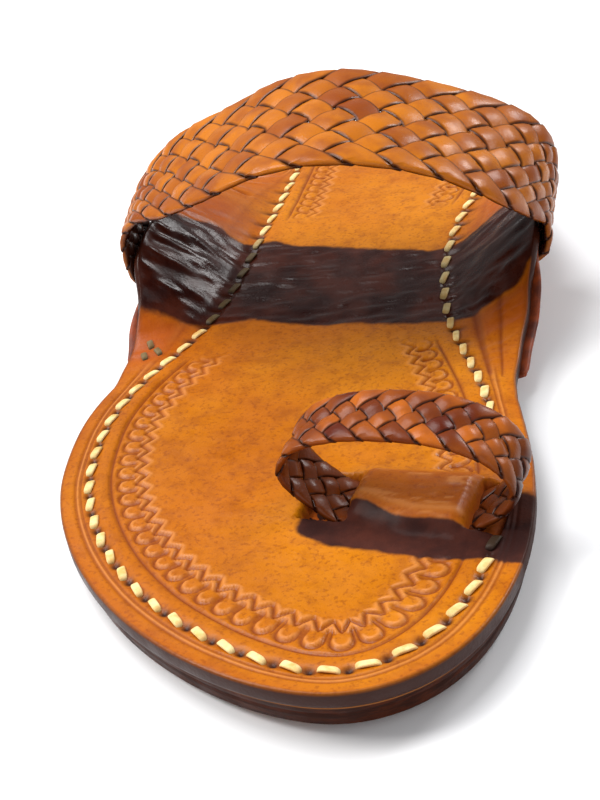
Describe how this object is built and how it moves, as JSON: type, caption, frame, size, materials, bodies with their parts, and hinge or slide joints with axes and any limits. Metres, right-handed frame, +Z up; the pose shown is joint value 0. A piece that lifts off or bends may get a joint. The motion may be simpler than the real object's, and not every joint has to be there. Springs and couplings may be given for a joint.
{
  "type": "leather toe-ring sandal",
  "caption": "Flat leather sandal for a right foot, with a woven instep band joined to turned-up ears of the footbed and a woven ring for the big toe.",
  "frame": {"origin": "on the floor, under the middle of the shoe's bounding box", "axes": "+Z up; the toe points to -Y and the heel to +Y; +X is the inner (big-toe) side of the foot"},
  "size_m": [0.11, 0.2588, 0.0614],
  "materials": {
    "sole_leather": "satin",
    "footbed_leather": "gloss",
    "backing_leather": "satin",
    "woven_leather": "gloss",
    "ring_leather": "gloss"
  },
  "bodies": {
    "root": {"heel_lift": "sole_leather", "outsole": "sole_leather", "footbed": "footbed_leather", "ear_backing_lateral": "backing_leather", "ear_backing_medial": "backing_leather", "instep_band": "woven_leather", "toe_ring": "ring_leather"}
  },
  "joints": []
}
